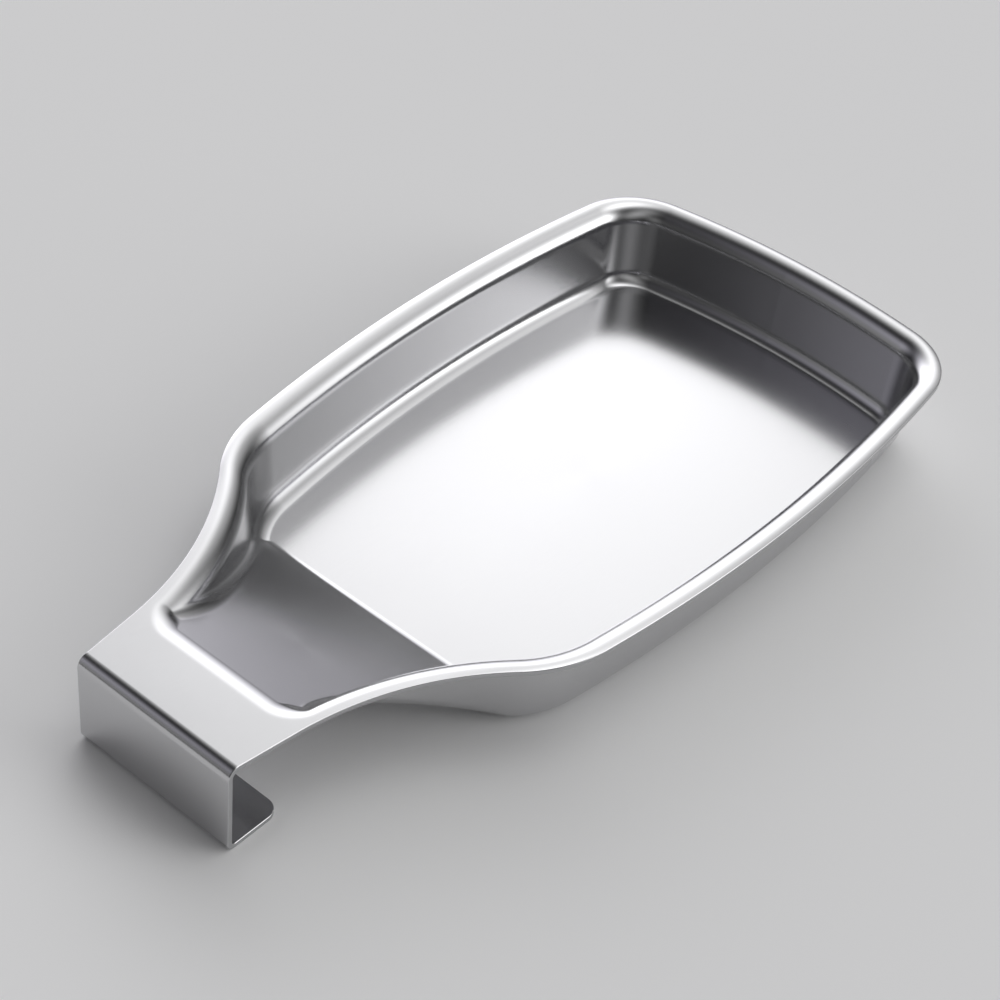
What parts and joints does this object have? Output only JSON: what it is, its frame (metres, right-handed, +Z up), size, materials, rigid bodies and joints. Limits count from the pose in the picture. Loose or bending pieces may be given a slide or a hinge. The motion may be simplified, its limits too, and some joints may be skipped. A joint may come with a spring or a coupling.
{
  "type": "spoon rest",
  "caption": "Shallow rounded spoon rest of satin steel sheet, with a drain ramp rising through a narrow neck to a deck and a folded hook under its handle end.",
  "frame": {"origin": "middle of the bounding box, on the plane that the rest stands on", "axes": "+Y runs from the hook to the far end of the pan, +Z is up, and X is across; the rest is mirror-symmetric about X = 0"},
  "size_m": [0.1, 0.196, 0.0205],
  "materials": {
    "satin_steel": "satin stainless steel, finely brushed, with soft broad reflections"
  },
  "bodies": {
    "root": {"pan_floor": "satin_steel", "pan_wall": "satin_steel", "pan_rim": "satin_steel", "drain_ramp": "satin_steel", "neck_deck": "satin_steel", "hook_plate": "satin_steel", "hook_lip": "satin_steel"}
  },
  "joints": []
}
